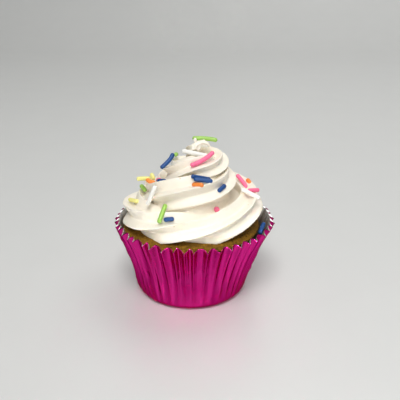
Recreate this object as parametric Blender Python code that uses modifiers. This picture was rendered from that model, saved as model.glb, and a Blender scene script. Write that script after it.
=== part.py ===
"""A cupcake in a pleated foil baking case, with a piped swirl of buttercream.

Metres, +Z up. The origin is the centre of the case's flat underside, so the
cupcake stands on the plane z = 0. Three separate solids: case, cake, frosting.
"""
import math

import bmesh
import bpy
import numpy as np

MM = 0.001
GAP = 0.3 * MM            # clearance between pieces that touch

# The foil case: a flat floor, a rounded foot and a pleated wall that flares.
FOIL = 0.35 * MM          # wall thickness of the foil and its paper lining
FLOOR_RADIUS = 21.4 * MM  # flat part of the underside
FOOT_RADIUS = 4.2 * MM    # bend between floor and wall
RIM_RADIUS = 35.0 * MM    # middle of the pleats at the rim
CASE_HEIGHT = 33.8 * MM
PLEATS = 46
STEPS_PER_PLEAT = 4
PLEAT_AT_FOOT = 0.35 * MM  # half the depth of a pleat where the wall begins
PLEAT_AT_RIM = 1.3 * MM    # and at the rim
RIM_SHIFT = 1.1 * MM      # the rim is pulled open further on the +X side
RIM_DROP = 0.4 * MM       # and hangs a little lower there
WALL_BOW = 0.9 * MM       # the wall is drawn in at mid height
WALL_HEIGHTS = (0.33, 0.66, 1.0)  # fractions of the wall where a ring of points lies

# The cake: it fills the case and rises in a low dome.
CAKE_STEPS = 48
CAKE_EDGE_RADIUS = 31.3 * MM
CAKE_EDGE_HEIGHT = 31.0 * MM
DOME_RISE = 4.2 * MM
DOME_RINGS = 5
CAKE_SIDE_HEIGHTS = (0.0, 0.12, 0.5, 0.8)

# The frosting: one strand from an open star nozzle, laid in a rising spiral.
# Each station is up to a quarter turn further on: angle in degrees, then
# radius, height and strand radius in millimetres, then the strand's roll.
STRAND_STATIONS = (
    (96, 21.0, 35.5, 2.0, -70),
    (120, 22.0, 36.6, 7.6, -50),
    (180, 23.2, 37.2, 8.8, -30),
    (215, 22.6, 37.8, 8.2, -9),
    (250, 21.3, 37.3, 8.0, 32),
    (270, 21.4, 37.2, 7.7, 56),
    (360, 25.0, 41.6, 7.4, 113),
    (450, 20.5, 43.5, 7.8, 125),
    (540, 14.9, 45.8, 7.3, 160),
    (630, 13.8, 51.2, 7.8, 212),
    (720, 12.6, 52.3, 6.9, 248),
    (810, 10.3, 53.6, 6.6, 286),
    (900, 9.5, 54.8, 5.9, 325),
    (990, 7.9, 60.3, 5.8, 372),
    (1080, 7.6, 59.8, 6.2, 430),
    (1170, 5.0, 62.2, 5.2, 485),
    (1230, 2.2, 65.0, 3.9, 512),
    (1290, 0.8, 67.5, 2.6, 535),
    (1320, 0.4, 69.0, 1.2, 548),
)
STRAND_STEP = 8.0         # degrees between points of the strand's path
STAR_TEETH = 6
STAR_STEPS = 36           # points round the strand's section
GROOVE_DEPTH = 0.45       # of the strand's radius
RIDGE_SHAPE = 1.5         # above 1 the ridges are narrow and the grooves broad
LEAN = 3.2 * MM           # the upper turns stand this far towards +X
LEAN_FROM = 540.0         # degrees along the strand where the lean begins
LEAN_OVER = 540.0
# Frosting behind the strand, turned about Z: radius and height in millimetres.
CORE_OUTLINE = ((0.0, 31.0), (23.0, 31.0), (23.0, 38.0), (18.8, 42.5), (17.5, 45.5),
                (12.5, 50.0), (9.2, 56.0), (4.0, 61.0), (0.0, 62.5))
CORE_STEPS = 32
REMESH_SIZE = 0.7 * MM
SOFTENING = 4             # passes that round off the steps of the remesh
FROSTING_TRIANGLES = 4300


# ---------------------------------------------------------------- scene tools

def clear_scene():
    """Remove every object that the file opened with."""
    for item in list(bpy.data.objects):
        bpy.data.objects.remove(item, do_unlink=True)


def new_collection(name):
    group = bpy.data.collections.new(name)
    bpy.context.scene.collection.children.link(group)
    return group


def new_material(name, colour, roughness, metallic=0.0):
    material = bpy.data.materials.new(name)
    material.use_nodes = True
    shader = material.node_tree.nodes["Principled BSDF"]
    shader.inputs["Base Color"].default_value = (*colour, 1.0)
    shader.inputs["Roughness"].default_value = roughness
    shader.inputs["Metallic"].default_value = metallic
    return material


def add_object(name, mesh, group, material=None):
    if material is not None:
        mesh.materials.append(material)
    item = bpy.data.objects.new(name, mesh)
    group.objects.link(item)
    return item


def mark_helper(item):
    """Keep a cutter or a guide out of the finished model."""
    item.hide_render = True
    item.display_type = "WIRE"


def loft(name, rings):
    """A mesh through closed rings of equal counts; a ring of one point is a tip."""
    shell = bmesh.new()
    loops = [[shell.verts.new(point) for point in ring] for ring in rings]
    for lower, upper in zip(loops, loops[1:]):
        count = max(len(lower), len(upper))
        for i in range(count):
            j = (i + 1) % count
            corners = []
            for loop, picks in ((lower, (i, j)), (upper, (j, i))):
                corners += [loop[0]] if len(loop) == 1 else [loop[k] for k in picks]
            shell.faces.new(corners)
    mesh = bpy.data.meshes.new(name)
    shell.to_mesh(mesh)
    shell.free()
    return mesh


# ------------------------------------------------------------------- foil case

def wall_middle(angle, rise):
    """Radius and height of the middle of the pleats, rise 0 at the foot to 1 at the rim."""
    foot = FLOOR_RADIUS + FOOT_RADIUS
    open_side = math.cos(angle)
    flare = (RIM_RADIUS + RIM_SHIFT * open_side - foot) * rise
    bow = WALL_BOW * (1 + 0.6 * open_side) * math.sin(math.pi * rise)
    height = FOOT_RADIUS + (CASE_HEIGHT - RIM_DROP * open_side - FOOT_RADIUS) * rise
    return foot + flare - bow, height


def pleat_depth(rise):
    return PLEAT_AT_FOOT + (PLEAT_AT_RIM - PLEAT_AT_FOOT) * rise


def pleat_wave(angle):
    """+1 on a pleat's sharp outer crease, -1 in the round channel between creases."""
    return 1 - 2 * abs(math.sin(angle * PLEATS / 2))


def case_ring(rise):
    """One ring of points round the pleated wall."""
    ring = []
    steps = PLEATS * STEPS_PER_PLEAT
    for i in range(steps):
        angle = math.tau * i / steps
        radius, height = wall_middle(angle, rise)
        out = pleat_depth(rise) * pleat_wave(angle)
        lean_in = (RIM_RADIUS - FLOOR_RADIUS) / CASE_HEIGHT * out * rise
        radius += out
        ring.append((radius * math.cos(angle), radius * math.sin(angle),
                     height - lean_in + FOIL / 2))
    return ring


def foot_ring(turn):
    """A ring on the rounded foot, turn 0 on the floor to 1 at the start of the wall."""
    ring = []
    steps = PLEATS * STEPS_PER_PLEAT
    bend = turn * math.pi / 2
    for i in range(steps):
        angle = math.tau * i / steps
        radius = FLOOR_RADIUS + FOOT_RADIUS * math.sin(bend)
        radius += PLEAT_AT_FOOT * pleat_wave(angle) * turn
        height = FOOT_RADIUS * (1 - math.cos(bend)) + FOIL / 2
        ring.append((radius * math.cos(angle), radius * math.sin(angle), height))
    return ring


def make_case(group):
    foil = new_material("magenta foil", (0.45, 0.01, 0.12), 0.3, 0.9)
    rings = [[(0.0, 0.0, FOIL / 2)], foot_ring(0.0), foot_ring(0.5), case_ring(0.0)]
    rings += [case_ring(rise) for rise in WALL_HEIGHTS]
    case = add_object("case", loft("case", rings), group, foil)
    wall = case.modifiers.new("foil thickness", "SOLIDIFY")
    wall.thickness = FOIL
    wall.offset = 0.0
    wall.use_even_offset = True
    return case


# ------------------------------------------------------------------------ cake

def cake_ring(radius, height, angle_shift=0.0):
    """A slightly uneven circle of the cake."""
    ring = []
    for i in range(CAKE_STEPS):
        angle = math.tau * i / CAKE_STEPS
        wobble = 1 - 0.006 * (1 + math.sin(3 * angle + angle_shift))
        ring.append((radius * wobble * math.cos(angle), radius * wobble * math.sin(angle),
                     height))
    return ring


def cake_mesh(name, grow=0.0):
    """The cake's solid; grow moves its dome outwards, for the frosting's underside."""
    base_z = FOIL + GAP
    rings = [[(0.0, 0.0, base_z)], cake_ring(FLOOR_RADIUS - GAP, base_z)]
    for rise in CAKE_SIDE_HEIGHTS:
        middle, height = wall_middle(math.pi, rise)
        radius = middle - pleat_depth(rise) - FOIL - GAP
        rings.append(cake_ring(radius, height + base_z))
    for i in range(DOME_RINGS):
        turn = math.pi / 2 * i / DOME_RINGS
        rings.append(cake_ring((CAKE_EDGE_RADIUS + grow) * math.cos(turn),
                               CAKE_EDGE_HEIGHT + (DOME_RISE + grow) * math.sin(turn), turn))
    rings.append([(0.0, 0.0, CAKE_EDGE_HEIGHT + DOME_RISE + grow)])
    return loft(name, rings)


def make_cake(group):
    sponge = new_material("golden sponge", (0.28, 0.19, 0.06), 0.9)
    cake = add_object("cake", cake_mesh("cake"), group, sponge)
    cake.data.shade_smooth()
    cake.data.set_sharp_from_angle(angle=math.radians(35))
    return cake


# -------------------------------------------------------------------- frosting

def smooth_through(angle, column):
    """A value between the strand's stations, eased by a cubic with limited slopes."""
    table = np.array(STRAND_STATIONS, dtype=float)
    angles, values = table[:, 0], table[:, column]
    slopes = np.diff(values) / np.diff(angles)
    tangents = np.zeros(len(values))
    for i in range(1, len(values) - 1):
        before, after = slopes[i - 1], slopes[i]
        if before * after > 0:
            tangents[i] = 2 * before * after / (before + after)
    tangents[0], tangents[-1] = slopes[0], slopes[-1]
    i = min(np.searchsorted(angles, angle, side="right") - 1, len(angles) - 2)
    span = angles[i + 1] - angles[i]
    s = (angle - angles[i]) / span
    return ((1 + 2 * s) * (1 - s) ** 2 * values[i] + s * (1 - s) ** 2 * span * tangents[i]
            + s * s * (3 - 2 * s) * values[i + 1] - s * s * (1 - s) * span * tangents[i + 1])


def lean_at(angle):
    """How far the turn at this angle has moved towards +X."""
    s = min(max((angle - LEAN_FROM) / LEAN_OVER, 0.0), 1.0)
    return LEAN * s * s * (3 - 2 * s)


def strand_point(angle):
    turn = math.radians(angle)
    radius = smooth_through(angle, 1) * MM
    return (radius * math.cos(turn) + lean_at(angle), radius * math.sin(turn),
            smooth_through(angle, 2) * MM)


def star_profile(group):
    """The nozzle's star as a closed flat curve of radius 1, one ridge for each tooth."""
    data = bpy.data.curves.new("star nozzle", "CURVE")
    data.dimensions = "2D"
    outline = data.splines.new("POLY")
    outline.points.add(STAR_STEPS - 1)
    outline.use_cyclic_u = True
    for i, point in enumerate(outline.points):
        angle = math.tau * i / STAR_STEPS
        along_tooth = STAR_TEETH * i / STAR_STEPS % 1
        to_ridge = abs(1 - 2 * along_tooth)
        radius = 1 - GROOVE_DEPTH * (1 - to_ridge ** RIDGE_SHAPE)
        point.co = (radius * math.cos(angle), radius * math.sin(angle), 0.0, 1.0)
    star = bpy.data.objects.new("star nozzle", data)
    group.objects.link(star)
    mark_helper(star)
    return star


def strand_mesh(group):
    """The piped strand: the star swept along the spiral, tapering and rolling."""
    data = bpy.data.curves.new("strand", "CURVE")
    data.dimensions = "3D"
    data.twist_mode = "Z_UP"
    data.bevel_mode = "OBJECT"
    data.bevel_object = star_profile(group)
    data.use_fill_caps = True
    first, last = STRAND_STATIONS[0][0], STRAND_STATIONS[-1][0]
    angles = np.linspace(first, last, round((last - first) / STRAND_STEP) + 1)
    path = data.splines.new("POLY")
    path.points.add(len(angles) - 1)
    for point, angle in zip(path.points, angles):
        point.co = (*strand_point(angle), 1.0)
        point.radius = smooth_through(angle, 3) * MM
        point.tilt = -math.radians(smooth_through(angle, 4))
    guide = bpy.data.objects.new("strand", data)
    group.objects.link(guide)
    depsgraph = bpy.context.evaluated_depsgraph_get()
    mesh = bpy.data.meshes.new_from_object(guide.evaluated_get(depsgraph))
    bpy.data.objects.remove(guide, do_unlink=True)
    return mesh


def core_mesh():
    """The heap of frosting behind the strand, which leans as the strand does."""
    rings = []
    for radius, height in CORE_OUTLINE:
        along = np.interp(height, [37.0, 52.0, 62.0], [180.0, 720.0, 1080.0])
        centre = lean_at(along)
        count = 1 if radius == 0 else CORE_STEPS
        rings.append([(centre + radius * MM * math.cos(math.tau * i / CORE_STEPS),
                       radius * MM * math.sin(math.tau * i / CORE_STEPS), height * MM)
                      for i in range(count)])
    return loft("core", rings)


def make_frosting(group, helpers):
    cream = new_material("buttercream", (0.87, 0.80, 0.68), 0.5)
    heap = bmesh.new()
    heap.from_mesh(strand_mesh(helpers))
    heap.from_mesh(core_mesh())
    bmesh.ops.remove_doubles(heap, verts=heap.verts, dist=0.01 * MM)
    mesh = bpy.data.meshes.new("frosting")
    heap.to_mesh(mesh)
    heap.free()
    frosting = add_object("frosting", mesh, group, cream)

    merged = frosting.modifiers.new("one heap", "REMESH")
    merged.mode = "VOXEL"
    merged.voxel_size = REMESH_SIZE
    softened = frosting.modifiers.new("soft ridges", "SMOOTH")
    softened.factor = 0.5
    softened.iterations = SOFTENING
    depsgraph = bpy.context.evaluated_depsgraph_get()
    dense = sum(len(face.vertices) - 2 for face in
                frosting.evaluated_get(depsgraph).data.polygons)
    fewer = frosting.modifiers.new("fewer faces", "DECIMATE")
    fewer.ratio = FROSTING_TRIANGLES / dense

    underside = add_object("cake clearance", cake_mesh("cake clearance", GAP), helpers)
    mark_helper(underside)
    cut = frosting.modifiers.new("rests on the cake", "BOOLEAN")
    cut.operation = "DIFFERENCE"
    cut.solver = "EXACT"
    cut.object = underside
    return frosting


def main():
    clear_scene()
    group = new_collection("cupcake")
    helpers = new_collection("helpers")
    make_case(group)
    make_cake(group)
    make_frosting(group, helpers)


main()
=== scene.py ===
# %% [markdown]
# # A frosted cupcake in a foil case
# A small golden cake stands in a pleated case of magenta foil. On it sits a tall swirl
# of buttercream, piped in one go from a star nozzle, with sugar strands strewn over it.
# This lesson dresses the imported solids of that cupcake: the foil gets its real pleats,
# the cake its crumb, the swirl its ridges, and every sugar strand is modelled.
#
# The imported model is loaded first. All later sizes and places are in its frame: metres,
# +Z up, with the origin in the middle of the case's flat underside.

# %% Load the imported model
import math
import random

import bmesh
import bpy
import numpy as np
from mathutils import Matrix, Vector
from mathutils.bvhtree import BVHTree


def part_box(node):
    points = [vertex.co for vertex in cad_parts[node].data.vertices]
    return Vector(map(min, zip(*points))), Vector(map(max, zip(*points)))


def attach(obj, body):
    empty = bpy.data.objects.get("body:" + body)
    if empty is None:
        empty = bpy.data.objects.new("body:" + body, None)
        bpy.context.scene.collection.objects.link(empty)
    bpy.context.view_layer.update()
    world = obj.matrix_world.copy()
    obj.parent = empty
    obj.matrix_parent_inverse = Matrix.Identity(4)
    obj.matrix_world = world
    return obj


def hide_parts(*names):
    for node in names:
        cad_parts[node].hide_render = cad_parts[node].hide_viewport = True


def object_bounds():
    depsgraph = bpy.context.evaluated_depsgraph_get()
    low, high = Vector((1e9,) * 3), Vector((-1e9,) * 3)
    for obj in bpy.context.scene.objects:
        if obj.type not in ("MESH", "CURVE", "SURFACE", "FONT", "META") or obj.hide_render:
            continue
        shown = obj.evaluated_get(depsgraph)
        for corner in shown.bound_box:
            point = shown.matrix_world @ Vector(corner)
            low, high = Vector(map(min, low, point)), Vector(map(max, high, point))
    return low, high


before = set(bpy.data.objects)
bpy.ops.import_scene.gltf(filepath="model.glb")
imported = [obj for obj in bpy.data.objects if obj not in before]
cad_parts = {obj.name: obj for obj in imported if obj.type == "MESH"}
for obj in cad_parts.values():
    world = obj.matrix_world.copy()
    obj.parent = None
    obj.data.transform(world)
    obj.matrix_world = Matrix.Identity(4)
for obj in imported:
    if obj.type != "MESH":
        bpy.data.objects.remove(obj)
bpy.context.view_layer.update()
MM = 0.001
BODY = "root"
case_low, case_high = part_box("case")
swirl_low, swirl_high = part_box("frosting")
for label, low, high in (("whole part", *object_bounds()), ("case", case_low, case_high),
                         ("swirl", swirl_low, swirl_high)):
    print(label, "in mm:", [round(v / MM, 1) for v in (high - low)])

# %% [markdown]
# A few helpers serve the whole lesson. Hex colours are how paint and food colours are
# usually noted, but shaders count light linearly, so one function converts them. Another
# adds one node to any tree, shader or geometry, and a third fills a node's sockets: a
# value is set on the socket, and another node or its output is linked to it.

# %% Helpers: colours and nodes
def linear(hex_code):
    """An sRGB hex colour as linear RGBA."""
    shares = [int(hex_code[i:i + 2], 16) / 255 for i in (1, 3, 5)]
    light = [s / 12.92 if s <= 0.04045 else ((s + 0.055) / 1.055) ** 2.4 for s in shares]
    return (*light, 1.0)


# The kinds of node that come up most
MATH = "ShaderNodeMath"
VECTOR_MATH = "ShaderNodeVectorMath"
NOISE = "ShaderNodeTexNoise"
MAP_RANGE = "ShaderNodeMapRange"
MIX = "ShaderNodeMix"
VORONOI = "ShaderNodeTexVoronoi"


def fill(item, inputs):
    """Fill a node's sockets, by name or number, with values, nodes or outputs."""
    for key, value in inputs.items():
        if isinstance(value, bpy.types.Node):
            value = value.outputs[0]
        if isinstance(value, bpy.types.NodeSocket):
            item.id_data.links.new(value, item.inputs[key])
        else:
            item.inputs[key].default_value = value


def add(tree, kind, inputs=None, **settings):
    """Add a node to a tree, with its settings, and fill its sockets."""
    item = tree.nodes.new(kind)
    for name, value in settings.items():
        setattr(item, name, value)
    fill(item, inputs or {})
    return item


def new_material(name):
    """A new material with its node tree, its shader and the place on the piece."""
    material = bpy.data.materials.new(name)
    material.use_nodes = True
    tree = material.node_tree
    place = add(tree, "ShaderNodeTexCoord").outputs["Object"]
    return material, tree, tree.nodes["Principled BSDF"], place


# %% [markdown]
# Pleats, piped ridges and sugar strands all follow rules, so geometry trees make them.
# Each tree starts with named inputs for its sizes and ends in realized geometry with its
# material. It runs once, and its result is kept as a plain mesh, because a mesh without
# modifiers looks the same in every program that opens it.

# %% Helpers: geometry trees
NUMBER_SOCKETS = {int: "NodeSocketInt", float: "NodeSocketFloat"}


def new_tree(name, sizes):
    """A geometry tree and its inputs: numbers, or socket types that are filled later."""
    tree = bpy.data.node_groups.new(name, "GeometryNodeTree")
    new_socket = tree.interface.new_socket
    new_socket("Geometry", in_out="INPUT", socket_type="NodeSocketGeometry")
    new_socket("Geometry", in_out="OUTPUT", socket_type="NodeSocketGeometry")
    for label, value in sizes.items():
        kind = NUMBER_SOCKETS.get(type(value))
        socket = new_socket(label, in_out="INPUT", socket_type=kind or value)
        if kind:
            socket.default_value = value
    return tree, tree.nodes.new("NodeGroupInput").outputs


def close_tree(tree, geometry, material):
    """End the tree in realized geometry with its material set."""
    real = add(tree, "GeometryNodeRealizeInstances", {0: geometry})
    dressed = add(tree, "GeometryNodeSetMaterial", {0: real, "Material": material})
    add(tree, "NodeGroupOutput", {0: dressed})


def link_piece(name, data):
    """A new object of a mesh, curve, lamp or camera, linked to the scene."""
    item = bpy.data.objects.new(name, data)
    bpy.context.scene.collection.objects.link(item)
    return item


def bake_modifiers(item):
    """Replace an object by its evaluated mesh, without modifiers."""
    name = item.name
    depsgraph = bpy.context.evaluated_depsgraph_get()
    mesh = bpy.data.meshes.new_from_object(item.evaluated_get(depsgraph))
    bpy.data.objects.remove(item, do_unlink=True)
    mesh.name = name
    return link_piece(name, mesh)


def apply_tree(item, tree, values=None):
    """Run the tree on an object and keep the result as a plain mesh of the same name."""
    modifier = item.modifiers.new(tree.name, "NODES")
    modifier.node_group = tree
    identifiers = {s.name: s.identifier for s in tree.interface.items_tree
                   if s.in_out == "INPUT"}
    for label, value in (values or {}).items():
        modifier[identifiers[label]] = value
    return bake_modifiers(item)


# %% [markdown]
# The cup, the cake and the heart of the swirl are round, as things are that come from a
# lathe or a baking mould. So one helper turns an outline round the axis. A radius of
# zero closes the skin in a pole, and an outline that starts in the middle of the
# underside and runs outwards and up gives faces that point outwards.

# %% Helpers: turn an outline
def quarter_turn(rows):
    """The angles from 0 to 90 degrees that part a quarter circle into rows."""
    return np.linspace(0, math.pi / 2, rows + 1)


def finish_mesh(name, skin):
    """A mesh of what was built in a bmesh."""
    mesh = bpy.data.meshes.new(name)
    skin.to_mesh(mesh)
    skin.free()
    return mesh


def turn_outline(name, outline, steps, centre_at=None):
    """A mesh turned from (radius, height) pairs; centre_at may lean it sideways."""
    skin = bmesh.new()
    rings = []
    for radius, height in outline:
        centre = centre_at(height) if centre_at else 0.0
        rings.append([skin.verts.new((centre + radius * math.cos(math.tau * i / steps),
                                      radius * math.sin(math.tau * i / steps), height))
                      for i in range(steps if radius > 0 else 1)])
    for low, high in zip(rings, rings[1:]):
        for i in range(steps):
            j = (i + 1) % steps
            if len(low) == 1:
                skin.faces.new((low[0], high[j], high[i]))
            elif len(high) == 1:
                skin.faces.new((low[i], low[j], high[0]))
            else:
                skin.faces.new((low[i], low[j], high[j], high[i]))
    mesh = finish_mesh(name, skin)
    mesh.shade_smooth()
    return mesh


# %% [markdown]
# ## Camera, floor and light
# The camera stands a hand's breadth above the cupcake and looks down on it by a little
# over twenty degrees. The table runs up into a pale wall without a corner, as a paper
# sweep does.

# %% Camera
CAMERA_PLACE = (4.0 * MM, -227.6 * MM, 136.8 * MM)
CAMERA_DOWN = 22.6          # degrees below the horizon
CAMERA_LENS = 49.5          # mm, on the usual 36 mm sensor

camera_data = bpy.data.cameras.new("camera")
camera_data.lens = CAMERA_LENS
camera = link_piece("camera", camera_data)
camera.location = CAMERA_PLACE
camera.rotation_euler = (math.radians(90 - CAMERA_DOWN), 0, 0)
bpy.context.scene.camera = camera
bpy.context.scene.view_settings.view_transform = "Standard"

# %% Floor and wall
SWEEP_BACK = 0.75           # m, where the floor starts to curve up
SWEEP_BEND = 0.5            # m, radius of that curve
SWEEP_ROWS = 16             # along the curve
SWEEP_TOP = 2.5
SWEEP_HALF_WIDTH = 3.0
SWEEP_FRONT = -2.0

sweep_line = [(SWEEP_FRONT, 0.0), (0.0, 0.0), (SWEEP_BACK, 0.0)]
sweep_line += [(SWEEP_BACK + SWEEP_BEND * math.sin(t), SWEEP_BEND * (1 - math.cos(t)))
               for t in quarter_turn(SWEEP_ROWS)[1:]]
sweep_line.append((SWEEP_BACK + SWEEP_BEND, SWEEP_TOP))
sweep = bmesh.new()
rows = [[sweep.verts.new((x, y, z)) for x in (-SWEEP_HALF_WIDTH, SWEEP_HALF_WIDTH)]
        for y, z in sweep_line]
for near, far in zip(rows, rows[1:]):
    sweep.faces.new((near[0], near[1], far[1], far[0]))
sweep_mesh = finish_mesh("table_sweep", sweep)
sweep_mesh.shade_smooth()
table_sweep = link_piece("table_sweep", sweep_mesh)

# %% [markdown]
# White laminate reads as one calm pale tone with a faint mottle. Its satin gloss shows at
# a low angle, where it carries the pink glow that the foil throws on the table.

# %% Laminate finish
laminate, laminate_tree, laminate_shader, place = new_material("white laminate")
mottle = add(laminate_tree, NOISE,
             {"Vector": place, "Scale": 1 / (30.0 * MM), "Detail": 3.0})
pale = add(laminate_tree, MIX, {0: mottle, 6: linear("#D7D7D4"), 7: linear("#DBDBD8")},
           data_type="RGBA")
fill(laminate_shader, {"Base Color": pale.outputs[2], "Roughness": 0.34,
                       "Specular IOR Level": 1.0})
sweep_mesh.materials.append(laminate)

# %% [markdown]
# A large soft lamp hangs high in front, a little to the left. It lights both flanks of
# the swirl and leaves the grooves and the underside of each ridge in shade. The foil
# wall leans outwards and so mirrors what stands low in front of it: a lamp near table
# height draws the bright bands on its pleats, and a weak narrow strip just above the
# table is thrown down again as the pink glow in front of the case. A wide lamp behind
# and a pale room fill the rest.

# %% Light
def add_lamp(name, place, size, power, aim=(0.0, 0.0, 0.03)):
    """A square soft lamp: size in metres, power in watts, turned towards its aim."""
    data = bpy.data.lights.new(name, "AREA")
    data.shape = "SQUARE"
    data.size = size
    data.energy = power
    lamp = link_piece(name, data)
    lamp.location = place
    lamp.rotation_euler = (Vector(place) - Vector(aim)).to_track_quat("Z", "Y").to_euler()
    return lamp


add_lamp("softbox", (-0.06, -0.6, 1.02), 0.5, 9.8)
add_lamp("front_lamp", (0.0, -1.2, 0.25), 0.4, 3.4)
low_strip = add_lamp("low_strip", (0.0, -0.5, 0.02), 0.1, 0.017, (0.0, 0.0, 0.014))
low_strip.data.shape = "RECTANGLE"
low_strip.data.size_y = 0.02
low_strip.data.spread = math.radians(8)
low_strip.visible_camera = False
add_lamp("ceiling", (0.55, 0.65, 1.4), 1.2, 7.4, (0.15, 0.8, 0.0))
world = bpy.data.worlds.new("pale room")
world.use_nodes = True
fill(world.node_tree.nodes["Background"], {"Color": linear("#DCE0E4"), "Strength": 0.22})
bpy.context.scene.world = world

# %% [markdown]
# ## The foil case
# A baking case is a disc of aluminium foil, lacquered magenta outside and bare inside,
# pressed into a pleated cup. The pleats could be cut one by one, but they follow a rule:
# a smooth cup whose wall is pushed out and in by a wave round its angle. So the cup is
# turned from an outline, and a geometry tree pleats it.

# %% The smooth cup
FOIL = 0.16 * MM            # drawn twice as thick as real foil, so that its edge shows
FLOOR_RADIUS = 21.4 * MM
FOOT_RADIUS = 4.2 * MM
RIM_RADIUS = 35.0 * MM
RIM_HEIGHT = 34.5 * MM
WALL_BOW = 0.9 * MM         # how far the wall's middle curves inwards
PLEATS = 46
STEPS_PER_PLEAT = 14
FOOT_ROWS = 6
WALL_ROWS = 44


def wall_point(rise, bow=1.0, inset=0.0):
    """Radius and height on the smooth wall, from its foot (0) to its rim (1)."""
    radius = (FLOOR_RADIUS + FOOT_RADIUS
              + (RIM_RADIUS - FLOOR_RADIUS - FOOT_RADIUS) * rise
              - bow * WALL_BOW * math.sin(math.pi * rise))
    return radius - inset, FOOT_RADIUS + (RIM_HEIGHT - FOOT_RADIUS) * rise


cup_outline = [(0.0, 0.0), (FLOOR_RADIUS * 0.5, 0.0), (FLOOR_RADIUS, 0.0)]
cup_outline += [(FLOOR_RADIUS + FOOT_RADIUS * math.sin(t),
                 FOOT_RADIUS * (1 - math.cos(t)))
                for t in quarter_turn(FOOT_ROWS)[1:]]
cup_outline += [wall_point(rise) for rise in np.linspace(0, 1, WALL_ROWS + 1)[1:]]
cup = turn_outline("foil_case", cup_outline, PLEATS * STEPS_PER_PLEAT)
foil_case = link_piece("foil_case", cup)
print("smooth cup:", len(foil_case.data.polygons), "faces")

# %% [markdown]
# The lacquered foil is a tinted metal: it has no diffuse colour of its own, and each
# reflection is dyed again, so light that bounces twice or three times in a pleat turns
# from magenta to deep crimson. The dye holds at a grazing angle too, where bare metal
# would turn white. Crinkles from handling lie in patches, the press leaves fine upright
# lines, and the clear lacquer adds a little white gloss on top. The bare inside is the
# same metal in silver grey.

# %% Foil finishes
def foil_finish(name, colour, deep_colour, roughness, crinkling, lacquer_gloss):
    """Rolled aluminium foil: a metal with fine crinkles a few millimetres across."""
    material, tree, shader, place = new_material(name)
    crinkle = add(tree, NOISE, {"Vector": place, "Scale": 1 / (2.2 * MM), "Detail": 4.0,
                                "Roughness": 0.6})
    dents = add(tree, VORONOI, {"Vector": place, "Scale": 1 / (3.5 * MM)})
    patches = add(tree, NOISE, {"Vector": place, "Scale": 1 / (13.0 * MM)})
    patch = add(tree, MAP_RANGE, {"Value": patches, "From Min": 0.45, "From Max": 0.68,
                                  "To Min": 0.3, "To Max": 1.6})
    dented = add(tree, MATH, {0: dents.outputs["Distance"], 1: 0.45,
                              2: crinkle.outputs[0]}, operation="MULTIPLY_ADD")
    crushed = add(tree, MATH, {0: dented, 1: patch}, operation="MULTIPLY")
    upright = add(tree, VECTOR_MATH, {0: place, 1: (1.0, 1.0, 0.08)},
                  operation="MULTIPLY")
    drawn = add(tree, NOISE, {"Vector": upright, "Scale": 1 / (1.1 * MM), "Detail": 2.0})
    relief = add(tree, MATH, {0: drawn, 1: 0.7, 2: crushed}, operation="MULTIPLY_ADD")
    tint = add(tree, MIX, {0: crinkle, 6: linear(colour), 7: linear(deep_colour)},
               data_type="RGBA")
    bump = add(tree, "ShaderNodeBump",
               {"Height": relief, "Strength": crinkling, "Distance": 0.3 * MM})
    fill(shader, {"Base Color": tint.outputs[2], "Normal": bump, "Metallic": 1.0,
                  "Specular Tint": linear(colour), "Roughness": roughness,
                  "Coat Weight": lacquer_gloss, "Coat Roughness": 0.15})
    return material


lacquer = foil_finish("magenta lacquered foil", "#C62282", "#AE1A6C", 0.24, 0.4, 0.05)
bare_foil = foil_finish("bare aluminium foil", "#ECECEC", "#D6D6D6", 0.46, 0.8, 0.0)

# %% [markdown]
# Seen from above, the pleats are round channels between narrow outer folds. That is the
# absolute sine of the angle, rounded at the fold by dividing it by itself plus a small
# fold width. The depth grows from the foot to the rim. Three noises round the circle
# make the pleats uneven, as fingers and the oven leave them: one moves the folds to and
# fro, one makes some channels shallow and some deep, and a fine one adds creases. A half
# is taken off each noise, so that it pushes one way as often as the other.

# %% The pleating tree
def swing(tree, inputs, **settings):
    """Noise that swings about zero."""
    noise = add(tree, NOISE, inputs, **settings)
    return add(tree, MATH, {0: noise, 1: 0.5}, operation="SUBTRACT")


pleating, given = new_tree("pleating", {
    "Pleats": PLEATS,
    "Foot Depth": 0.15 * MM,
    "Rim Depth": 1.25 * MM,
    "Foot Height": FOOT_RADIUS,
    "Rim Height": RIM_HEIGHT,
    "Fold Width": 0.12,
    "Channel Shape": 0.6,
    "Channel Reach": -2.1,      # pleat depths, from the fold in to the channel
    "Width Spread": 0.16,
    "Depth Spread": 1.5,
    "Crease Depth": 0.8,
    "Creases": 45.0,
    "Dent Depth": 0.7 * MM,
    "Open Shift": 1.5 * MM,
    "Scallop": 1.0 * MM,
    "Scallop Fade": 6.0,        # the higher, the nearer to the rim the scallops stay
    "Seed": 3.0,
})
place = add(pleating, "GeometryNodeInputPosition")
xyz = add(pleating, "ShaderNodeSeparateXYZ", {0: place})
turn = add(pleating, MATH, {0: xyz.outputs[1], 1: xyz.outputs[0]}, operation="ARCTAN2")
rise = add(pleating, MAP_RANGE,
           {"Value": xyz.outputs[2], "From Min": given["Foot Height"],
            "From Max": given["Rim Height"]})
fade = add(pleating, MAP_RANGE,
           {"Value": xyz.outputs[2], "From Min": 0.3 * MM,
            "From Max": given["Foot Height"]}, interpolation_type="SMOOTHSTEP")
flat = add(pleating, VECTOR_MATH, {0: place, 1: (1.0, 1.0, 0.0)}, operation="MULTIPLY")
compass = add(pleating, VECTOR_MATH, {0: flat}, operation="NORMALIZE")

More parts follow.
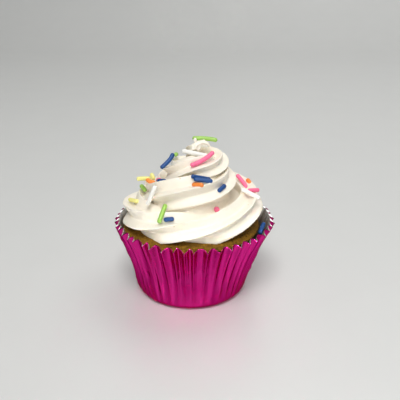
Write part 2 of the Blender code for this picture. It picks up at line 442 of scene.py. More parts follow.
# %% The pleating tree: where the folds lie
wander_off = swing(pleating, {"Vector": compass, "W": given["Seed"], "Scale": 6.0,
                              "Detail": 1.0}, noise_dimensions="4D")
turned = add(pleating, MATH, {0: wander_off, 1: given["Width Spread"], 2: turn},
             operation="MULTIPLY_ADD")
half_pleats = add(pleating, MATH, {0: given["Pleats"], 1: 0.5}, operation="MULTIPLY")
phase = add(pleating, MATH, {0: turned, 1: half_pleats}, operation="MULTIPLY")
sine = add(pleating, MATH, {0: phase}, operation="SINE")
off_fold = add(pleating, MATH, {0: sine}, operation="ABSOLUTE")
off_squared = add(pleating, MATH, {0: off_fold, 1: off_fold}, operation="MULTIPLY")
fold_sum = add(pleating, MATH, {0: off_fold, 1: given["Fold Width"]}, operation="ADD")
fold_round = add(pleating, MATH, {0: off_squared, 1: fold_sum}, operation="DIVIDE")
channel = add(pleating, MATH, {0: fold_round, 1: given["Channel Shape"]},
              operation="POWER")
wave = add(pleating, MATH, {0: channel, 1: given["Channel Reach"], 2: 1.0},
           operation="MULTIPLY_ADD")

# %% The pleating tree: how deep they are
depth = add(pleating, MAP_RANGE,
            {"Value": rise, "To Min": given["Foot Depth"], "To Max": given["Rim Depth"]})
uneven_off = swing(pleating, {"Vector": compass, "W": given["Seed"], "Scale": 11.0,
                              "Detail": 1.0}, noise_dimensions="4D")
uneven_deep = add(pleating, MATH, {0: uneven_off, 1: given["Depth Spread"], 2: 1.0},
                  operation="MULTIPLY_ADD")
deep = add(pleating, MATH, {0: depth, 1: uneven_deep}, operation="MULTIPLY")
crease_off = swing(pleating,
                   {"Vector": compass, "W": given["Seed"], "Scale": given["Creases"],
                    "Detail": 1.0}, noise_dimensions="4D")
creased = add(pleating, MATH, {0: crease_off, 1: given["Crease Depth"], 2: wave},
              operation="MULTIPLY_ADD")
pleat_push = add(pleating, MATH, {0: deep, 1: creased}, operation="MULTIPLY")

# %% [markdown]
# Handling leaves patches of small sharp dents. Cells of a Voronoi pattern give their
# cone shape, and a broad noise keeps them to a few patches. The wall leans a little
# further out on one side, where the case has been pulled open. Last, the rim ends a
# little lower at each fold: the case was a flat disc, and where its foil reaches further
# out, less of it is left to go up.

# %% The pleating tree: dents, the open side and the scallops
DENT_SIZE = 4.0 * MM
DENT_PATCH = 14.0 * MM
dents = add(pleating, VORONOI, {"Vector": place, "Scale": 1 / DENT_SIZE})
patches = add(pleating, NOISE,
              {"Vector": place, "W": given["Seed"], "Scale": 1 / DENT_PATCH,
               "Detail": 1.0}, noise_dimensions="4D")
patch = add(pleating, MAP_RANGE, {"Value": patches, "From Min": 0.5, "From Max": 0.68},
            interpolation_type="SMOOTHSTEP")
dent = add(pleating, MATH, {0: dents.outputs["Distance"], 1: patch}, operation="MULTIPLY")
dent_push = add(pleating, MATH, {0: dent, 1: given["Dent Depth"]}, operation="MULTIPLY")
push = add(pleating, MATH, {0: pleat_push, 1: dent_push}, operation="ADD")
push_faded = add(pleating, MATH, {0: push, 1: fade}, operation="MULTIPLY")
pushed = add(pleating, VECTOR_MATH, {0: add(pleating, "GeometryNodeInputNormal"),
                                     "Scale": push_faded}, operation="SCALE")
east = add(pleating, MATH, {0: turn}, operation="COSINE")
east_rise = add(pleating, MATH, {0: east, 1: rise}, operation="MULTIPLY")
shift = add(pleating, MATH, {0: east_rise, 1: given["Open Shift"]}, operation="MULTIPLY")
opened = add(pleating, VECTOR_MATH, {0: compass, "Scale": shift}, operation="SCALE")
at_rim = add(pleating, MATH, {0: rise, 1: given["Scallop Fade"]}, operation="POWER")
at_fold = add(pleating, MATH, {0: 1.0, 1: channel}, operation="SUBTRACT")
notch = add(pleating, MATH, {0: at_rim, 1: at_fold}, operation="MULTIPLY")
drop = add(pleating, MATH, {0: notch, 1: given["Scallop"]}, operation="MULTIPLY")
lowered = add(pleating, VECTOR_MATH, {0: (0.0, 0.0, -1.0), "Scale": drop},
              operation="SCALE")
spread_out = add(pleating, VECTOR_MATH, {0: pushed, 1: opened}, operation="ADD")
moved = add(pleating, VECTOR_MATH, {0: spread_out, 1: lowered}, operation="ADD")
pleated = add(pleating, "GeometryNodeSetPosition",
              {"Geometry": given["Geometry"], "Offset": moved})
close_tree(pleating, pleated, lacquer)

# %% Pleat the cup and give it its thickness
foil_case = apply_tree(foil_case, pleating)
foil_case.data.materials.append(bare_foil)
wall = foil_case.modifiers.new("foil thickness", "SOLIDIFY")
wall.thickness = FOIL
wall.offset = -1.0
wall.material_offset = 1
foil_case = bake_modifiers(foil_case)
print("pleated case:", len(foil_case.data.polygons), "faces")

# %% [markdown]
# ## The cake
# The cake fills the case almost to its rim and closes in a low dome, of which a golden
# strip shows between foil and icing. It is turned from an outline too. The dome's height
# is a function of its own, because the icing has to lie on it.

# %% Cake body
CAKE_STEPS = 180
CAKE_EDGE_RADIUS = 30.6 * MM
CAKE_EDGE_HEIGHT = 31.0 * MM
DOME_RISE = 4.2 * MM
CASE_GAP = 3.0 * MM         # from the smooth wall in to the cake's side
CAKE_BOW = 1.6              # the side's inward curve, in times the wall's
CAKE_SIDE = (0.1, 0.86)     # shares of the wall's rise that the side spans
# How far the cake's foot reaches past the case's floor, and its height there
CAKE_FOOT = ((-1.0 * MM, 0.7 * MM), (1.2 * MM, 2.4 * MM))
SIDE_ROWS = 11
DOME_ROWS = 23


def cake_top(radius):
    """Height of the cake's dome at a distance from its axis."""
    share = np.clip(np.asarray(radius) / CAKE_EDGE_RADIUS, 0, 1)
    return CAKE_EDGE_HEIGHT + DOME_RISE * np.sqrt(1 - share ** 2)


cake_outline = [(0.0, CAKE_FOOT[0][1])]
cake_outline += [(FLOOR_RADIUS + past, height) for past, height in CAKE_FOOT]
cake_outline += [wall_point(rise, CAKE_BOW, CASE_GAP)
                 for rise in np.linspace(*CAKE_SIDE, SIDE_ROWS + 1)]
cake_outline += [(CAKE_EDGE_RADIUS * math.cos(t),
                  CAKE_EDGE_HEIGHT + DOME_RISE * math.sin(t))
                 for t in quarter_turn(DOME_ROWS)[:-1]]
cake_outline.append((0.0, CAKE_EDGE_HEIGHT + DOME_RISE))
sponge = link_piece("sponge", turn_outline("sponge", cake_outline, CAKE_STEPS))
print("cake:", len(sponge.data.polygons), "faces")

# %% [markdown]
# A baked crust is matt and mottled: golden brown with paler and darker grains about a
# millimetre across, and small pits where bubbles burst. Two noises and the cells of a
# Voronoi pattern give the grains and pits in the bump, and the grains in the colour; the
# pits are painted darker there, as painted shade in the small recesses.

# %% Crust finish
crust, crust_tree, crust_shader, place = new_material("baked golden crust")
grain = add(crust_tree, NOISE,
            {"Vector": place, "Scale": 1 / (1.3 * MM), "Detail": 5.0, "Roughness": 0.7})
bloom = add(crust_tree, NOISE, {"Vector": place, "Scale": 1 / (7.0 * MM), "Detail": 2.0})
pits = add(crust_tree, VORONOI, {"Vector": place, "Scale": 1 / (1.7 * MM)})
pit = add(crust_tree, MAP_RANGE,
          {"Value": pits.outputs["Distance"], "From Min": 0.05, "From Max": 0.3})
mottle = add(crust_tree, MIX, {0: bloom, 2: grain, 3: pit}, data_type="FLOAT")
spread = add(crust_tree, MAP_RANGE, {"Value": grain, "From Min": 0.35, "From Max": 0.65})
brown = add(crust_tree, MIX, {0: spread, 6: linear("#60400C"), 7: linear("#926A1A")},
            data_type="RGBA")
# The pits are painted darker: painted shade in the small recesses that the bump sinks
pit_shade_painted = add(crust_tree, MIX, {0: pit, 6: linear("#50350A"), 7: brown.outputs[2]},
             data_type="RGBA")
bump = add(crust_tree, "ShaderNodeBump",
           {"Height": mottle, "Strength": 0.8, "Distance": 0.5 * MM})
fill(crust_shader, {"Base Color": pit_shade_painted.outputs[2], "Normal": bump, "Roughness": 0.85,
                    "Specular IOR Level": 0.2})
sponge.data.materials.append(crust)

# %% [markdown]
# ## The swirl
# The icing is one rope from a star nozzle, laid in a spiral that starts at the back,
# climbs almost three and a half turns and is pulled off at the top. Its path is a table
# of stations: the angle round the cake, the distance from the axis, the height, how
# thick the rope is there, and how far the star is rolled. The values between are eased
# by a cubic that never overshoots, and the upper turns lean a little to one side.

# %% The rope's path
STATIONS = (                # in degrees, mm, mm, mm and degrees
    (96, 21.0, 35.5, 2.0, -70),
    (120, 22.0, 36.6, 7.6, -50),
    (180, 23.2, 37.2, 8.8, -30),
    (215, 22.6, 37.8, 8.2, -9),
    (250, 21.3, 37.3, 8.0, 32),
    (270, 21.4, 37.2, 7.7, 56),
    (360, 25.0, 41.6, 7.4, 113),
    (450, 20.5, 43.5, 7.8, 125),
    (540, 14.9, 45.8, 7.3, 160),
    (630, 13.8, 51.2, 7.8, 212),
    (720, 12.6, 52.3, 6.9, 248),
    (810, 10.3, 53.6, 6.6, 286),
    (900, 9.5, 54.8, 5.9, 325),
    (990, 7.9, 60.3, 5.8, 372),
    (1080, 7.6, 59.8, 6.2, 430),
    (1170, 5.0, 62.2, 5.2, 485),
    (1230, 2.2, 65.0, 3.9, 512),
    (1290, 0.8, 67.5, 2.6, 535),
    (1320, 0.4, 69.0, 1.2, 548),
)
ROPE_STEP = 3.0             # degrees
LEAN = 3.2 * MM
LEAN_FROM = 540.0           # degrees along the spiral
LEAN_OVER = 540.0           # degrees that the lean takes to grow


def between_stations(angle, column):
    """A value between the rope's stations, eased by a cubic with limited slopes."""
    table = np.array(STATIONS, dtype=float)
    angles, values = table[:, 0], table[:, column]
    slopes = np.diff(values) / np.diff(angles)
    tangents = np.zeros(len(values))
    for i in range(1, len(values) - 1):
        before, after = slopes[i - 1], slopes[i]
        if before * after > 0:
            tangents[i] = 2 * before * after / (before + after)
    tangents[0], tangents[-1] = slopes[0], slopes[-1]
    i = min(np.searchsorted(angles, angle, side="right") - 1, len(angles) - 2)
    span = angles[i + 1] - angles[i]
    s = (angle - angles[i]) / span
    return ((1 + 2 * s) * (1 - s) ** 2 * values[i] + s * (1 - s) ** 2 * span * tangents[i]
            + s * s * (3 - 2 * s) * values[i + 1]
            - s * s * (1 - s) * span * tangents[i + 1])


def lean_at(angle):
    """How far the rope's centre has moved to one side, eased in along the spiral."""
    s = min(max((angle - LEAN_FROM) / LEAN_OVER, 0.0), 1.0)
    return LEAN * s * s * (3 - 2 * s)


# %% [markdown]
# Where the nozzle is pulled away, the icing tears into a short spike, and a last curl
# falls to one side. Both are short ropes of their own, given by a few points.

# %% Lay the ropes
PULL_OFF = (                # short ropes: x, y, height and thickness in millimetres
    ((2.4, -0.6, 66.0, 2.6), (1.9, -0.7, 68.0, 2.2), (1.9, -0.7, 69.8, 1.3),
     (2.1, -0.6, 71.3, 0.4)),
    ((2.0, 0.2, 66.5, 2.4), (3.6, 0.0, 68.4, 1.9), (5.6, -0.3, 69.2, 1.4),
     (7.4, -0.6, 68.4, 1.1), (8.2, -0.8, 67.0, 0.7)),
)


def draw_lines(name, lines, twist="MINIMUM"):
    """Open lines as one curve; a point is x, y, z and radius in mm, and maybe a roll."""
    curves = bpy.data.curves.new(name, "CURVE")
    curves.dimensions = "3D"
    curves.twist_mode = twist
    for line in lines:
        spline = curves.splines.new("POLY")
        spline.points.add(len(line) - 1)
        for point, (x, y, z, thick, *roll) in zip(spline.points, line):
            point.co = (x * MM, y * MM, z * MM, 1.0)
            point.radius = thick * MM
            point.tilt = -math.radians(sum(roll))
    return link_piece(name, curves)


angles = np.arange(STATIONS[0][0], STATIONS[-1][0] + 0.5 * ROPE_STEP, ROPE_STEP)
spiral = []
for angle in angles:
    radius, *others = (between_stations(angle, column) for column in (1, 2, 3, 4))
    spiral.append((radius * math.cos(math.radians(angle)) + lean_at(angle) / MM,
                   radius * math.sin(math.radians(angle)), *others))
rope = draw_lines("rope", (spiral, *PULL_OFF), "Z_UP")
print("spiral:", len(spiral), "points")

# %% [markdown]
# Buttercream is sugar and fat beaten full of air: nearly white with a touch of cream,
# soft in its gloss, and a little light sinks in and comes out again nearby. Under a
# close look it is never smooth, so fine noise roughens it, a few burst bubbles pit it,
# and here and there a crumb of the cake has stuck to it.

# %% Buttercream finish
cream, cream_tree, cream_shader, place = new_material("whipped buttercream")
fluff = add(cream_tree, NOISE,
            {"Vector": place, "Scale": 1 / (0.9 * MM), "Detail": 4.0, "Roughness": 0.6})
bubbles = add(cream_tree, VORONOI, {"Vector": place, "Scale": 1 / (2.6 * MM)})
bubble = add(cream_tree, MAP_RANGE,
             {"Value": bubbles.outputs["Distance"], "From Min": 0.05, "From Max": 0.16})
crumbs = add(cream_tree, VORONOI, {"Vector": place, "Scale": 1 / (6.0 * MM)})
no_crumb = add(cream_tree, MAP_RANGE,
               {"Value": crumbs.outputs["Distance"], "From Min": 0.03, "From Max": 0.06})
blush = add(cream_tree, NOISE, {"Vector": place, "Scale": 1 / (6.0 * MM), "Detail": 3.0})
cream_tint = add(cream_tree, MIX, {0: blush, 6: linear("#FAF3E5"), 7: linear("#F5EBD9")},
                 data_type="RGBA")
specked = add(cream_tree, MIX, {0: no_crumb, 6: linear("#CDAF86"),
                                7: cream_tint.outputs[2]}, data_type="RGBA")
dimpled = add(cream_tree, MATH, {0: bubble, 1: 0.8, 2: fluff}, operation="MULTIPLY_ADD")
bump = add(cream_tree, "ShaderNodeBump",
           {"Height": dimpled, "Strength": 0.35, "Distance": 0.18 * MM})
fill(cream_shader, {"Base Color": specked.outputs[2], "Normal": bump, "Roughness": 0.55,
                    "Subsurface Weight": 0.12, "Subsurface Radius": (1.0, 0.7, 0.45),
                    "Subsurface Scale": 1.2 * MM})

# %% [markdown]
# The piping tree sweeps the nozzle's star along the ropes. The star is a circle whose
# radius falls from each of six sharp ridges into a broad round flute, because the slits
# between a nozzle's teeth are narrow and the teeth are wide. Two attributes are stored on
# the way, for later: which side of the rope a point is on, and how far along it lies.

# %% The piping tree
piping, given = new_tree("piping", {
    "Lobes": 6,
    "Section Points": 96,
    "Flute Depth": 0.5,
    "Ridge Shape": 1.5,
})
star = add(piping, "GeometryNodeCurvePrimitiveCircle",
           {"Resolution": given["Section Points"], "Radius": 1.0})
around = add(piping, MATH,
             {0: add(piping, "GeometryNodeSplineParameter").outputs["Factor"], 1: 2.0},
             operation="MULTIPLY")
lobes_passed = add(piping, MATH, {0: around, 1: given["Lobes"]}, operation="MULTIPLY")
off_ridge = add(piping, MATH, {0: lobes_passed, 1: 1.0}, operation="PINGPONG")
to_ridge = add(piping, MATH, {0: 1.0, 1: off_ridge}, operation="SUBTRACT")
climb = add(piping, MATH, {0: to_ridge, 1: given["Ridge Shape"]}, operation="POWER")
flute = add(piping, MATH, {0: 1.0, 1: given["Flute Depth"]}, operation="SUBTRACT")
kept = add(piping, MATH, {0: climb, 1: given["Flute Depth"], 2: flute},
           operation="MULTIPLY_ADD")
round_place = add(piping, "GeometryNodeInputPosition")
marked_star = add(piping, "GeometryNodeStoreNamedAttribute",
                  {"Geometry": star, "Name": "side", "Value": round_place},
                  data_type="FLOAT_VECTOR", domain="POINT")
star_place = add(piping, VECTOR_MATH, {0: round_place, "Scale": kept}, operation="SCALE")
lobed = add(piping, "GeometryNodeSetPosition",
            {"Geometry": marked_star, "Position": star_place})
marked_rope = add(piping, "GeometryNodeStoreNamedAttribute",
                  {"Geometry": given["Geometry"], "Name": "along",
                   "Value": add(piping, "GeometryNodeSplineParameter").outputs["Length"]},
                  data_type="FLOAT", domain="POINT")
swept = add(piping, "GeometryNodeCurveToMesh",
            {"Curve": marked_rope, "Profile Curve": lobed,
             "Scale": add(piping, "GeometryNodeInputRadius"), "Fill Caps": True})
close_tree(piping, swept, cream)
rope = apply_tree(rope, piping)

# %% [markdown]
# The lowest turn rests on the cake, so whatever would reach into it is pressed flat
# against the dome. The middle of the swirl is filled with a plain heap that leans with
# it, and one voxel remesh melts rope and heap into a single skin, as the soft icing
# itself does. A dozen smoothing passes take off the voxel steps and soften the ridges,
# and half of the faces are dropped where the skin is nearly flat.

# %% Press the rope onto the cake and fill the middle
BITE = 0.3 * MM             # how far the icing sinks into the crust
VOXEL = 0.3 * MM
SOFTENING = 12              # smoothing passes
KEPT_FACES = 0.5
points = np.empty(len(rope.data.vertices) * 3, dtype=np.float32)
rope.data.vertices.foreach_get("co", points)
points = points.reshape(-1, 3)
crust_height = cake_top(np.hypot(points[:, 0], points[:, 1])) - BITE
points[:, 2] = np.maximum(points[:, 2], crust_height)
rope.data.vertices.foreach_set("co", points.ravel())
rope.data.update()

# Radius and height of the heap, and how far it leans at each height, in mm
HEART_OUTLINE = ((0.0, 34.6), (21.0, 33.6), (21.0, 37.0), (18.8, 42.5), (17.5, 45.5),
                 (12.5, 50.0), (9.2, 56.0), (4.0, 61.0), (0.0, 62.5))
HEART_LEAN = ((37.0, 0.0), (42.5, -1.3), (52.0, 0.8), (62.0, 3.2))
HEART_STEPS = 32
heart = turn_outline("heart", [(r * MM, z * MM) for r, z in HEART_OUTLINE], HEART_STEPS,
                     lambda z: np.interp(z / MM, *zip(*HEART_LEAN)) * MM)
heap = bmesh.new()
heap.from_mesh(rope.data)
heap.from_mesh(heart)
buttercream = link_piece("buttercream", finish_mesh("buttercream", heap))
melted = buttercream.modifiers.new("one skin", "REMESH")
melted.mode = "VOXEL"
melted.voxel_size = VOXEL
melted.use_smooth_shade = True
softened = buttercream.modifiers.new("soft edges", "SMOOTH")
softened.factor = 0.5
softened.iterations = SOFTENING
thinned = buttercream.modifiers.new("fewer faces", "DECIMATE")
thinned.ratio = KEPT_FACES
buttercream = bake_modifiers(buttercream)
print("buttercream:", len(buttercream.data.polygons), "faces")

# %% [markdown]
# The real swirl isn't machine-made: its ridges swell and sag, and the nozzle's edge
# drags fine lines along the rope. The relief tree looks up the nearest point of the
# swept rope for its side and length, so the lines run with the rope, and pushes the skin
# in and out by two noises.

# %% The relief tree
relief, given = new_tree("relief", {
    "Rope": "NodeSocketObject",
    "Swell Depth": 0.9 * MM,
    "Swell Size": 9.0 * MM,
    "Line Depth": 0.3 * MM,
    "Line Density": 9.0,
    "Line Length": 22.0 * MM,
    "Seed": 5.0,
})
rope_mesh = add(relief, "GeometryNodeObjectInfo", {"Object": given["Rope"]})
side = add(relief, "GeometryNodeInputNamedAttribute", {"Name": "side"},
           data_type="FLOAT_VECTOR")
along = add(relief, "GeometryNodeInputNamedAttribute", {"Name": "along"},
            data_type="FLOAT")
side_here = add(relief, "GeometryNodeSampleNearestSurface",
                {"Mesh": rope_mesh.outputs["Geometry"], "Value": side},
                data_type="FLOAT_VECTOR")
along_here = add(relief, "GeometryNodeSampleNearestSurface",
                 {"Mesh": rope_mesh.outputs["Geometry"], "Value": along},
                 data_type="FLOAT")
side_wide = add(relief, VECTOR_MATH, {0: side_here, "Scale": given["Line Density"]},
                operation="SCALE")
side_xyz = add(relief, "ShaderNodeSeparateXYZ", {0: side_wide})
along_slow = add(relief, MATH, {0: along_here, 1: given["Line Length"]},
                 operation="DIVIDE")
grain_place = add(relief, "ShaderNodeCombineXYZ",
                  {0: side_xyz.outputs[0], 1: side_xyz.outputs[1], 2: along_slow})
line_off = swing(relief, {"Vector": grain_place, "W": given["Seed"], "Scale": 1.0,
                          "Detail": 2.0}, noise_dimensions="4D")
line_push = add(relief, MATH, {0: line_off, 1: given["Line Depth"]}, operation="MULTIPLY")
swell_place = add(relief, VECTOR_MATH, {0: add(relief, "GeometryNodeInputPosition"),
                                        1: given["Swell Size"]}, operation="DIVIDE")
swell_off = swing(relief, {"Vector": swell_place, "W": given["Seed"], "Scale": 1.0,
                           "Detail": 2.0}, noise_dimensions="4D")
push = add(relief, MATH, {0: swell_off, 1: given["Swell Depth"], 2: line_push},
           operation="MULTIPLY_ADD")
pushed = add(relief, VECTOR_MATH, {0: add(relief, "GeometryNodeInputNormal"),
                                   "Scale": push}, operation="SCALE")
worked = add(relief, "GeometryNodeSetPosition",
             {"Geometry": given["Geometry"], "Offset": pushed})
close_tree(relief, worked, cream)
buttercream = apply_tree(buttercream, relief, {"Rope": rope})
bpy.data.objects.remove(rope, do_unlink=True)

# %% [markdown]
# ## Sugar strands
# Sugar strands are threads of coloured sugar paste, pressed through holes two
# millimetres wide and broken to length. Each is a short soft rod with round ends and a
# slight bend, and it stays where it falls. So each strand is laid by a rule: a probe
# slopes down from outside towards the swirl's axis and finds the icing, a straight rod
# is rested on the bumps it meets there, and it sinks in a little.

# %% How a strand comes to rest
PROBE_SLOPE = math.radians(28)
PROBE_FAR = 80.0 * MM
STRAND_RADIUS = 0.95        # mm
STRAND_SINK = 0.3           # of its radius
STRAND_POINTS = 9
STEEPEST = 0.9              # rise along the probe for each unit of length
FEWEST_HITS = 3             # for a strand to take up the slope beneath it
icing = BVHTree.FromObject(buttercream, bpy.context.evaluated_depsgraph_get())


def lay_on_icing(azimuth, height, heading, length, bend=0.0, thick=STRAND_RADIUS):
    """Middle line (x, y, z, radius) of a strand at rest, in mm.

    The probe comes from the azimuth (degrees) and aims at a height on the axis; the
    heading turns the strand from level (0) towards upright (90).
    """
    turn, head = math.radians(azimuth), math.radians(heading)
    outward = Vector((math.cos(turn) * math.cos(PROBE_SLOPE),
                      math.sin(turn) * math.cos(PROBE_SLOPE), math.sin(PROBE_SLOPE)))
    across = Vector((-math.sin(turn), math.cos(turn), 0.0))
    upward = outward.cross(across)
    forward = across * math.cos(head) + upward * math.sin(head)
    sideways = outward.cross(forward)
    steps = np.linspace(-0.5, 0.5, STRAND_POINTS) * length
    found = []
    for step in steps:
        start = Vector((0, 0, height * MM)) + forward * step * MM + outward * PROBE_FAR
        hit = icing.ray_cast(start, -outward)
        if hit[0] is not None:
            found.append((step, (PROBE_FAR - hit[3]) / MM))
    places, depths = np.array(found).T
    tilt = np.polyfit(places, depths, 1)[0] if len(found) >= FEWEST_HITS else 0.0
    tilt = min(max(tilt, -STEEPEST), STEEPEST)
    rest = np.max(depths - tilt * places) + thick * (1 - STRAND_SINK)
    line = []
    for step in steps:
        curved = bend * (1 - (2 * step / length) ** 2)
        place = (Vector((0, 0, height)) + forward * step + sideways * curved
                 + outward * (rest + tilt * step))
        line.append((*place, thick))
    return line


def bent_through(start, middle, end, thick=STRAND_RADIUS):
    """Middle line of a strand that bends evenly through three places, in mm."""
    start, middle, end = Vector(start), Vector(middle), Vector(end)
    pull = 2 * middle - (start + end) / 2
    return [(*(start * (1 - s) ** 2 + pull * 2 * s * (1 - s) + end * s * s), thick)
            for s in np.linspace(0, 1, STRAND_POINTS)]


# %% [markdown]
# Those that can be seen from the front lie where the table below says: the direction
# they are met from, the height the probe aims at, their heading, length and bend. A
# seeded draw strews the rest over the back, and draws again where a strand would cut
# into another. A few lie across the tip, hang over an edge or stand between cake and
# foil, where the probe wouldn't leave them; each of these is given by its two ends and
# its middle.

# %% Where the strands lie
STRANDS = {                 # direction, aim, heading, length and bend
    "pink": ((296, 59, 20, 12, -0.8), (190, 45, 30, 3), (355, 33, 135, 4.5)),
    "white": ((289, 62.8, 150, 9.5), (221, 38.5, 75, 9.5), (346, 33.5, 75, 7)),
    "blue": ((248, 30, 15, 4.4), (288, 50, 165, 9), (288, 48.5, 165, 8),
             (315, 43, 15, 5.5)),
    "green": ((241, 32, 95, 8.5),),
    "yellow": (),
    "orange": ((280, 46.6, 165, 4.2),),
}
LOOSE_STRANDS = {           # end, middle, end, and the radius of a thick one
    "green": (((0.6, 1.8, 70.1), (6.2, 2.2, 70.0), (11.6, 1.6, 69.2)),
              ((-6.9, 4.0, 61.9), (-6.7, 6.0, 61.5), (-6.5, 8.0, 61.0)),
              ((-23.0, 5.2, 47.4), (-21.6, 4.0, 46.2), (-20.4, 2.8, 45.0))),
    "blue": (((32.6, -5.6, 33.6), (31.2, -8.2, 31.8), (30.2, -10.8, 30.4)),
             ((-7.7, 3.4, 63.0), (-9.6, 1.4, 60.2), (-13.2, -1.2, 57.5)),
             ((-14.6, -3.6, 52.5), (-12.8, -4.8, 53.0), (-10.4, -6.0, 53.3))),
    "yellow": (((-24.0, -0.5, 52.3), (-21.0, 0.4, 52.2), (-17.8, 1.5, 51.8)),
               ((-17.7, 2.2, 53.9), (-17.0, 0.8, 53.1), (-16.3, -0.8, 52.0)),
               ((-27.6, -1.5, 43.0), (-25.4, -3.8, 43.4), (-23.0, -5.8, 43.8))),
    "pink": (((11.0, -15.2, 44.1), (11.1, -13.6, 43.3), (11.2, -12.0, 42.5), 1.25),
             ((20.8, 11.4, 50.1), (23.6, 8.4, 47.6), (26.0, 4.1, 44.8))),
    "orange": (((-19.2, -3.8, 53.5), (-17.4, -5.2, 52.8), (-15.2, -6.0, 52.7)),
               ((25.5, 9.9, 48.4), (26.9, 7.9, 47.3), (28.0, 5.9, 46.0))),
}
BACK_STRANDS = 16
BACK_SEED = 12
BACK_FROM = 45              # degrees
BACK_SPAN = 92              # degrees
AIM_LOW = 24                # mm
AIM_TOP = 26                # mm, at the ends of the back
AIM_CROWN = 22              # mm more in its middle
BACK_HEADING = 50           # degrees from level, either way
BACK_LENGTHS = (5, 9)       # mm
BACK_BEND = 0.8             # mm, either way

sugar_lines = {colour: [lay_on_icing(*row) for row in rows]
               for colour, rows in STRANDS.items()}
for colour, rows in LOOSE_STRANDS.items():
    sugar_lines[colour] += [bent_through(*row) for row in rows]
strew = random.Random(BACK_SEED)


def draw_back_strand(number):
    """A strand at rest in its own sector of the back."""
    share = (number + strew.random()) / BACK_STRANDS
    top = AIM_TOP + AIM_CROWN * math.sin(math.pi * share)
    return lay_on_icing(BACK_FROM + BACK_SPAN * share, strew.uniform(AIM_LOW, top),
                        strew.uniform(-BACK_HEADING, BACK_HEADING),
                        strew.uniform(*BACK_LENGTHS),
                        strew.uniform(-BACK_BEND, BACK_BEND))


def is_free(line):
    """Whether a strand keeps clear of all those that lie there already."""
    return all(math.dist(here[:3], there[:3]) > here[3] + there[3]
               for lines in sugar_lines.values() for other in lines
               for here in line for there in other)


for number in range(BACK_STRANDS):
    line = draw_back_strand(number)
    while not is_free(line):
        line = draw_back_strand(number)
    sugar_lines[strew.choice(sorted(STRANDS))].append(line)
print("strands:", {colour: len(lines) for colour, lines in sugar_lines.items()})

# %% [markdown]
# Sugar paste dries to a soft sheen. Its colour is never quite even, because the dye
# settles in the damp paste, and tiny crystals roughen the skin.

# %% Sugar finishes
def sugar_finish(name, colour, pale):
    """Dried sugar paste: even in gloss, with a finely grained skin."""
    material, tree, shader, place = new_material(name)
    dye = add(tree, NOISE, {"Vector": place, "Scale": 1 / (1.6 * MM), "Detail": 3.0})
    crystals = add(tree, NOISE, {"Vector": place, "Scale": 1 / (0.25 * MM)})
    tint = add(tree, MIX, {0: dye, 6: linear(colour), 7: linear(pale)}, data_type="RGBA")
    bump = add(tree, "ShaderNodeBump",
               {"Height": crystals, "Strength": 0.3, "Distance": 0.05 * MM})
    fill(shader, {"Base Color": tint.outputs[2], "Normal": bump, "Roughness": 0.42})
    return material


SUGAR_COLOURS = {           # dye, and the same dye where the paste is paler
    "pink": ("#F65E8A", "#FF82A8"),
    "white": ("#F4F2EA", "#FCFBF6"),
    "blue": ("#063C7C", "#105090"),
    "green": ("#90C044", "#AAD46A"),
    "yellow": ("#E8E07A", "#F6F2A0"),
    "orange": ("#F07E2C", "#FA9A4C"),
}

# %% [markdown]
# The strand tree sweeps a small circle along each middle line. Near an end the circle
# shrinks as on a ball, so the ends close round, and a fine noise keeps the rod from
# looking turned on a lathe.

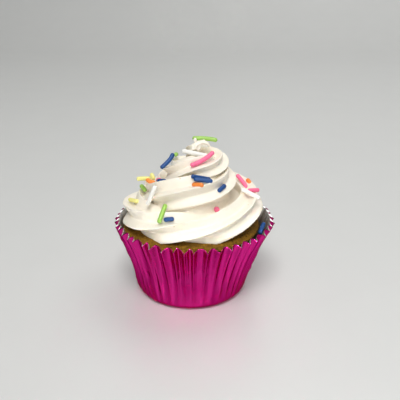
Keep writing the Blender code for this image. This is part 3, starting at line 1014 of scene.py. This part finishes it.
# %% The strand tree
strand_tree, given = new_tree("sugar strand", {
    "Points Along": 26,
    "Points Around": 14,
    "Unevenness": 0.16 * MM,
    "Finish": "NodeSocketMaterial",
})
rounded_line = add(strand_tree, "GeometryNodeResampleCurve",
                   {"Curve": given["Geometry"], "Count": given["Points Along"]})
thickness = add(strand_tree, "GeometryNodeInputRadius")
gone = add(strand_tree, "GeometryNodeSplineParameter").outputs["Length"]
whole = add(strand_tree, "GeometryNodeSplineLength").outputs["Length"]
left = add(strand_tree, MATH, {0: whole, 1: gone}, operation="SUBTRACT")
to_end = add(strand_tree, MATH, {0: gone, 1: left}, operation="MINIMUM")
end_share = add(strand_tree, MATH, {0: to_end, 1: thickness}, operation="DIVIDE",
                use_clamp=True)
off_centre = add(strand_tree, MATH, {0: 1.0, 1: end_share}, operation="SUBTRACT")
off_squared = add(strand_tree, MATH, {0: off_centre, 1: off_centre}, operation="MULTIPLY")
ball = add(strand_tree, MATH, {0: 1.0, 1: off_squared}, operation="SUBTRACT")
ball_width = add(strand_tree, MATH, {0: ball}, operation="SQRT")
width = add(strand_tree, MATH, {0: ball_width, 1: thickness}, operation="MULTIPLY")
ring = add(strand_tree, "GeometryNodeCurvePrimitiveCircle",
           {"Resolution": given["Points Around"], "Radius": 1.0})
rod = add(strand_tree, "GeometryNodeCurveToMesh",
          {"Curve": rounded_line, "Profile Curve": ring, "Scale": width})
closed = add(strand_tree, "GeometryNodeMergeByDistance",
             {"Geometry": rod, "Distance": 0.02 * MM})
bumps_off = swing(strand_tree, {"Vector": add(strand_tree, "GeometryNodeInputPosition"),
                                "Scale": 1 / (1.8 * MM), "Detail": 1.0})
bumps_push = add(strand_tree, MATH, {0: bumps_off, 1: given["Unevenness"]},
                 operation="MULTIPLY")
pushed = add(strand_tree, VECTOR_MATH, {0: add(strand_tree, "GeometryNodeInputNormal"),
                                        "Scale": bumps_push}, operation="SCALE")
uneven_rod = add(strand_tree, "GeometryNodeSetPosition",
                 {"Geometry": closed, "Offset": pushed})
smooth_rod = add(strand_tree, "GeometryNodeSetShadeSmooth", {0: uneven_rod})
close_tree(strand_tree, smooth_rod, given["Finish"])

# %% Make the strands of each colour
sugar_pieces = []
for colour, lines in sugar_lines.items():
    finish = sugar_finish(colour + " sugar paste", *SUGAR_COLOURS[colour])
    sugar_pieces.append(apply_tree(draw_lines("sugar_" + colour, lines), strand_tree,
                                   {"Finish": finish}))
    print(sugar_pieces[-1].name, len(sugar_pieces[-1].data.polygons), "faces")

# %% [markdown]
# ## Hand over
# Each piece rides on the part's one body. The case, the cake and the swirl stand for
# their CAD solids, which are hidden, and each keeps the finish it was given above.

# %% Hand over
for piece, node, slot in ((foil_case, "case", "foil"), (sponge, "cake", "sponge"),
                          (buttercream, "frosting", "buttercream")):
    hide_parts(node)
    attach(piece, BODY)
for piece in sugar_pieces:
    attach(piece, BODY)
